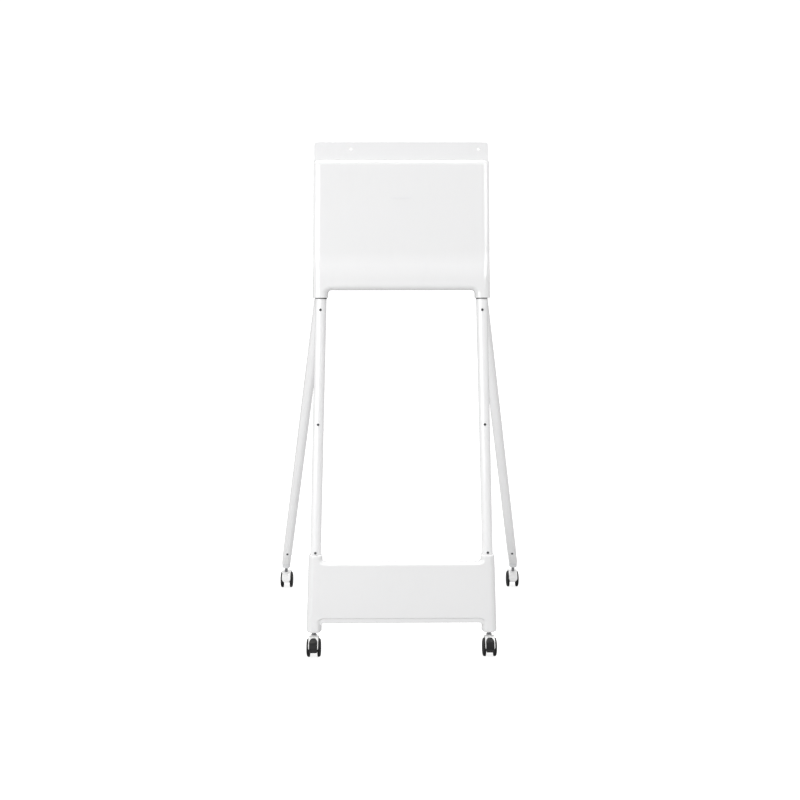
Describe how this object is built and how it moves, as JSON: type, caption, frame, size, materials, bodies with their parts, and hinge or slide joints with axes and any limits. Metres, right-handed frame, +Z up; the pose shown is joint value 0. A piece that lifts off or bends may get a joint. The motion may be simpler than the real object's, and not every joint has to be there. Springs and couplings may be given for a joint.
{
  "type": "flipchart easel",
  "caption": "Wheeled white flipchart stand: gloss head shell with a drilled bolting flange, leaning tube legs, low beam, splayed rear legs, twin-wheel casters with brake pedals.",
  "frame": {"origin": "on the floor under the middle of the stand, centre of the bounding box in X and Y", "axes": "+X to the right as seen from the front, +Y to the back, +Z up"},
  "size_m": [0.9146, 0.7434, 1.646],
  "materials": {
    "white_gloss_shell": "gloss white moulded shell",
    "white_powder_coat": "satin white powder coat on steel tube",
    "white_plate_paint": "fine-texture white paint on sheet steel",
    "badge_grey": "plain pale badge bar",
    "ring_grey": "grey painted collar",
    "white_nylon": "white moulded nylon",
    "wheel_nylon": "black wheel nylon with a soft tread",
    "pedal_nylon": "black pedal nylon, fine spark texture",
    "dark_nylon": "pale nylon inserts and caps",
    "bright_steel": "zinc plated turned steel",
    "dark_steel_fasteners": "dark zinc button-head screws"
  },
  "bodies": {
    "frame": {"badge_plate": "badge_grey", "beam_back_shell": "white_gloss_shell", "beam_bottom_strip": "white_gloss_shell", "beam_front_shell": "white_gloss_shell", "beam_rail": "white_powder_coat", "beam_screws": "dark_steel_fasteners", "bracket_bolts": "dark_steel_fasteners", "cover_screws": "dark_steel_fasteners", "front_left_caster_stem": "bright_steel", "front_leg_screws": "dark_steel_fasteners", "front_right_caster_stem": "bright_steel", "head_back_cover": "white_gloss_shell", "head_front_cover": "white_gloss_shell", "left_column_cap": "dark_nylon", "left_foot_ring": "ring_grey", "left_front_leg": "white_powder_coat", "left_head_post": "white_powder_coat", "left_lower_post": "white_powder_coat", "left_rear_bracket": "white_powder_coat", "left_rear_foot": "white_nylon", "left_rear_leg": "white_powder_coat", "left_stem_seat": "dark_nylon", "lower_cross_bar": "white_powder_coat", "middle_rivet_nuts": "dark_steel_fasteners", "mounting_plate": "white_plate_paint", "plate_bolts": "dark_steel_fasteners", "rear_left_caster_stem": "bright_steel", "rear_leg_screws": "dark_steel_fasteners", "rear_right_caster_stem": "bright_steel", "right_column_cap": "dark_nylon", "right_foot_ring": "ring_grey", "right_front_leg": "white_powder_coat", "right_head_post": "white_powder_coat", "right_lower_post": "white_powder_coat", "right_rear_bracket": "white_powder_coat", "right_rear_foot": "white_nylon", "right_rear_leg": "white_powder_coat", "right_stem_seat": "dark_nylon", "upper_cross_bar": "white_powder_coat"},
    "front_left_caster": {"front_left_caster_hood": "white_nylon", "front_left_caster_axle": "bright_steel", "front_left_pedal_pin": "bright_steel"},
    "front_left_wheel_left": {"front_left_wheel_left": "wheel_nylon"},
    "front_left_wheel_right": {"front_left_wheel_right": "wheel_nylon"},
    "front_left_pedal": {"front_left_brake_pedal": "pedal_nylon"},
    "front_right_caster": {"front_right_caster_hood": "white_nylon", "front_right_caster_axle": "bright_steel", "front_right_pedal_pin": "bright_steel"},
    "front_right_wheel_left": {"front_right_wheel_left": "wheel_nylon"},
    "front_right_wheel_right": {"front_right_wheel_right": "wheel_nylon"},
    "front_right_pedal": {"front_right_brake_pedal": "pedal_nylon"},
    "rear_left_caster": {"rear_left_caster_hood": "white_nylon", "rear_left_caster_axle": "bright_steel"},
    "rear_left_wheel_left": {"rear_left_wheel_left": "wheel_nylon"},
    "rear_left_wheel_right": {"rear_left_wheel_right": "wheel_nylon"},
    "rear_right_caster": {"rear_right_caster_hood": "white_nylon", "rear_right_caster_axle": "bright_steel"},
    "rear_right_wheel_left": {"rear_right_wheel_left": "wheel_nylon"},
    "rear_right_wheel_right": {"rear_right_wheel_right": "wheel_nylon"}
  },
  "joints": [
    {"name": "front_left_swivel", "type": "hinge", "parent": "frame", "child": "front_left_caster", "pos_m": [-0.28672, -0.3125, 0.05], "axis": [0, 0, 1], "continuous": true},
    {"name": "front_left_spin_left", "type": "hinge", "parent": "front_left_caster", "child": "front_left_wheel_left", "pos_m": [-0.30462, -0.3305, 0.03], "axis": [1, 0, 0], "continuous": true},
    {"name": "front_left_spin_right", "type": "hinge", "parent": "front_left_caster", "child": "front_left_wheel_right", "pos_m": [-0.26882, -0.3305, 0.03], "axis": [1, 0, 0], "continuous": true},
    {"name": "front_left_brake", "type": "hinge", "parent": "front_left_caster", "child": "front_left_pedal", "pos_m": [-0.28672, -0.3385, 0.052], "axis": [1, 0, 0], "range_deg": [0, 10]},
    {"name": "front_right_swivel", "type": "hinge", "parent": "frame", "child": "front_right_caster", "pos_m": [0.28672, -0.3125, 0.05], "axis": [0, 0, 1], "continuous": true},
    {"name": "front_right_spin_left", "type": "hinge", "parent": "front_right_caster", "child": "front_right_wheel_left", "pos_m": [0.26882, -0.3305, 0.03], "axis": [1, 0, 0], "continuous": true},
    {"name": "front_right_spin_right", "type": "hinge", "parent": "front_right_caster", "child": "front_right_wheel_right", "pos_m": [0.30462, -0.3305, 0.03], "axis": [1, 0, 0], "continuous": true},
    {"name": "front_right_brake", "type": "hinge", "parent": "front_right_caster", "child": "front_right_pedal", "pos_m": [0.28672, -0.3385, 0.052], "axis": [1, 0, 0], "range_deg": [0, 10]},
    {"name": "rear_left_swivel", "type": "hinge", "parent": "frame", "child": "rear_left_caster", "pos_m": [-0.434, 0.3155, 0.05], "axis": [0, 0, 1], "continuous": true},
    {"name": "rear_left_spin_left", "type": "hinge", "parent": "rear_left_caster", "child": "rear_left_wheel_left", "pos_m": [-0.4519, 0.3335, 0.03], "axis": [1, 0, 0], "continuous": true},
    {"name": "rear_left_spin_right", "type": "hinge", "parent": "rear_left_caster", "child": "rear_left_wheel_right", "pos_m": [-0.4161, 0.3335, 0.03], "axis": [1, 0, 0], "continuous": true},
    {"name": "rear_right_swivel", "type": "hinge", "parent": "frame", "child": "rear_right_caster", "pos_m": [0.434, 0.3155, 0.05], "axis": [0, 0, 1], "continuous": true},
    {"name": "rear_right_spin_left", "type": "hinge", "parent": "rear_right_caster", "child": "rear_right_wheel_left", "pos_m": [0.4161, 0.3335, 0.03], "axis": [1, 0, 0], "continuous": true},
    {"name": "rear_right_spin_right", "type": "hinge", "parent": "rear_right_caster", "child": "rear_right_wheel_right", "pos_m": [0.4519, 0.3335, 0.03], "axis": [1, 0, 0], "continuous": true}
  ]
}
